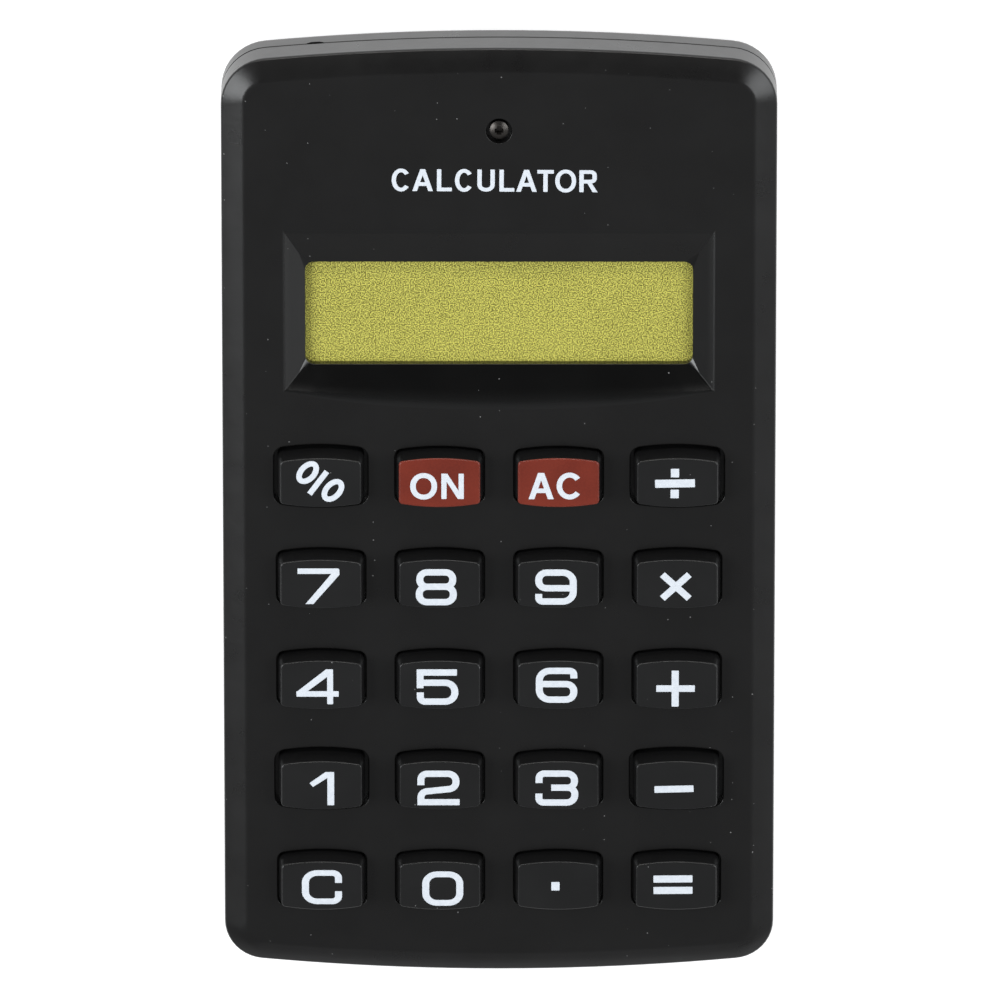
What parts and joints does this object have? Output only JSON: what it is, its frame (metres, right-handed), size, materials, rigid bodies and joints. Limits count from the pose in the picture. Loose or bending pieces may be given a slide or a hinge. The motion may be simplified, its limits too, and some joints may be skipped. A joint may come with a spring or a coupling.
{
  "type": "pocket calculator",
  "caption": "Hand-held battery calculator: bevelled plastic case with bowed ends, recessed LCD window, and sprung barrel-shaped keys for arithmetic.",
  "frame": {"origin": "bottom centre of the bounding box: on the supporting surface, under the middle of the body", "axes": "+X to the right as the face is read, +Y along the length towards the display end, +Z out of the face"},
  "size_m": [0.0576, 0.102, 0.011],
  "materials": {
    "case_black": "fine matt texture",
    "key_black": "fine matt texture",
    "key_red": "fine matt texture",
    "legend_white": "printed ink",
    "screw_black": "black oxide",
    "screw_steel": "zinc plated",
    "display_front": "anti-glare film",
    "display_glass": "clear",
    "display_reflector": "brushed foil",
    "silicone": "matt",
    "zebra_rubber": "striped",
    "board_green": "solder mask",
    "epoxy_black": "glossy epoxy",
    "chip_ceramic": "ceramic",
    "cell_steel": "nickel plated",
    "contact_metal": "nickel plated"
  },
  "bodies": {
    "body": {"front_shell": "case_black", "rear_shell": "case_black", "case_screw": "screw_black", "lcd_polariser": "display_front", "lcd_upper_glass": "display_glass", "lcd_lower_glass": "display_glass", "lcd_reflector": "display_reflector", "zebra_strip": "zebra_rubber", "keypad_mat": "silicone", "pcb": "board_green", "ic_blob": "epoxy_black", "capacitor": "chip_ceramic", "resistor": "epoxy_black", "battery_cell": "cell_steel", "battery_positive_contact": "contact_metal", "battery_negative_contact": "contact_metal", "pcb_screw_1": "screw_steel", "pcb_screw_2": "screw_steel", "pcb_screw_3": "screw_steel", "pcb_screw_4": "screw_steel", "pcb_screw_5": "screw_steel", "pcb_screw_6": "screw_steel", "pcb_screw_7": "screw_steel"},
    "key_percent": {"key_percent": "key_black"},
    "key_on": {"key_on": "key_red"},
    "key_ac": {"key_ac": "key_red"},
    "key_divide": {"key_divide": "key_black"},
    "key_7": {"key_7": "key_black"},
    "key_8": {"key_8": "key_black"},
    "key_9": {"key_9": "key_black"},
    "key_multiply": {"key_multiply": "key_black"},
    "key_4": {"key_4": "key_black"},
    "key_5": {"key_5": "key_black"},
    "key_6": {"key_6": "key_black"},
    "key_add": {"key_add": "key_black"},
    "key_1": {"key_1": "key_black"},
    "key_2": {"key_2": "key_black"},
    "key_3": {"key_3": "key_black"},
    "key_subtract": {"key_subtract": "key_black"},
    "key_c": {"key_c": "key_black"},
    "key_0": {"key_0": "key_black"},
    "key_point": {"key_point": "key_black"},
    "key_equals": {"key_equals": "key_black"}
  },
  "joints": [
    {"name": "key_percent_press", "type": "slide", "parent": "body", "child": "key_percent", "axis": [0, 0, -1], "range_m": [0, 0.001], "stiffness_N_per_m": 700, "deforming": ["keypad_mat"]},
    {"name": "key_on_press", "type": "slide", "parent": "body", "child": "key_on", "axis": [0, 0, -1], "range_m": [0, 0.001], "stiffness_N_per_m": 700, "deforming": ["keypad_mat"]},
    {"name": "key_ac_press", "type": "slide", "parent": "body", "child": "key_ac", "axis": [0, 0, -1], "range_m": [0, 0.001], "stiffness_N_per_m": 700, "deforming": ["keypad_mat"]},
    {"name": "key_divide_press", "type": "slide", "parent": "body", "child": "key_divide", "axis": [0, 0, -1], "range_m": [0, 0.001], "stiffness_N_per_m": 700, "deforming": ["keypad_mat"]},
    {"name": "key_7_press", "type": "slide", "parent": "body", "child": "key_7", "axis": [0, 0, -1], "range_m": [0, 0.001], "stiffness_N_per_m": 700, "deforming": ["keypad_mat"]},
    {"name": "key_8_press", "type": "slide", "parent": "body", "child": "key_8", "axis": [0, 0, -1], "range_m": [0, 0.001], "stiffness_N_per_m": 700, "deforming": ["keypad_mat"]},
    {"name": "key_9_press", "type": "slide", "parent": "body", "child": "key_9", "axis": [0, 0, -1], "range_m": [0, 0.001], "stiffness_N_per_m": 700, "deforming": ["keypad_mat"]},
    {"name": "key_multiply_press", "type": "slide", "parent": "body", "child": "key_multiply", "axis": [0, 0, -1], "range_m": [0, 0.001], "stiffness_N_per_m": 700, "deforming": ["keypad_mat"]},
    {"name": "key_4_press", "type": "slide", "parent": "body", "child": "key_4", "axis": [0, 0, -1], "range_m": [0, 0.001], "stiffness_N_per_m": 700, "deforming": ["keypad_mat"]},
    {"name": "key_5_press", "type": "slide", "parent": "body", "child": "key_5", "axis": [0, 0, -1], "range_m": [0, 0.001], "stiffness_N_per_m": 700, "deforming": ["keypad_mat"]},
    {"name": "key_6_press", "type": "slide", "parent": "body", "child": "key_6", "axis": [0, 0, -1], "range_m": [0, 0.001], "stiffness_N_per_m": 700, "deforming": ["keypad_mat"]},
    {"name": "key_add_press", "type": "slide", "parent": "body", "child": "key_add", "axis": [0, 0, -1], "range_m": [0, 0.001], "stiffness_N_per_m": 700, "deforming": ["keypad_mat"]},
    {"name": "key_1_press", "type": "slide", "parent": "body", "child": "key_1", "axis": [0, 0, -1], "range_m": [0, 0.001], "stiffness_N_per_m": 700, "deforming": ["keypad_mat"]},
    {"name": "key_2_press", "type": "slide", "parent": "body", "child": "key_2", "axis": [0, 0, -1], "range_m": [0, 0.001], "stiffness_N_per_m": 700, "deforming": ["keypad_mat"]},
    {"name": "key_3_press", "type": "slide", "parent": "body", "child": "key_3", "axis": [0, 0, -1], "range_m": [0, 0.001], "stiffness_N_per_m": 700, "deforming": ["keypad_mat"]},
    {"name": "key_subtract_press", "type": "slide", "parent": "body", "child": "key_subtract", "axis": [0, 0, -1], "range_m": [0, 0.001], "stiffness_N_per_m": 700, "deforming": ["keypad_mat"]},
    {"name": "key_c_press", "type": "slide", "parent": "body", "child": "key_c", "axis": [0, 0, -1], "range_m": [0, 0.001], "stiffness_N_per_m": 700, "deforming": ["keypad_mat"]},
    {"name": "key_0_press", "type": "slide", "parent": "body", "child": "key_0", "axis": [0, 0, -1], "range_m": [0, 0.001], "stiffness_N_per_m": 700, "deforming": ["keypad_mat"]},
    {"name": "key_point_press", "type": "slide", "parent": "body", "child": "key_point", "axis": [0, 0, -1], "range_m": [0, 0.001], "stiffness_N_per_m": 700, "deforming": ["keypad_mat"]},
    {"name": "key_equals_press", "type": "slide", "parent": "body", "child": "key_equals", "axis": [0, 0, -1], "range_m": [0, 0.001], "stiffness_N_per_m": 700, "deforming": ["keypad_mat"]}
  ]
}
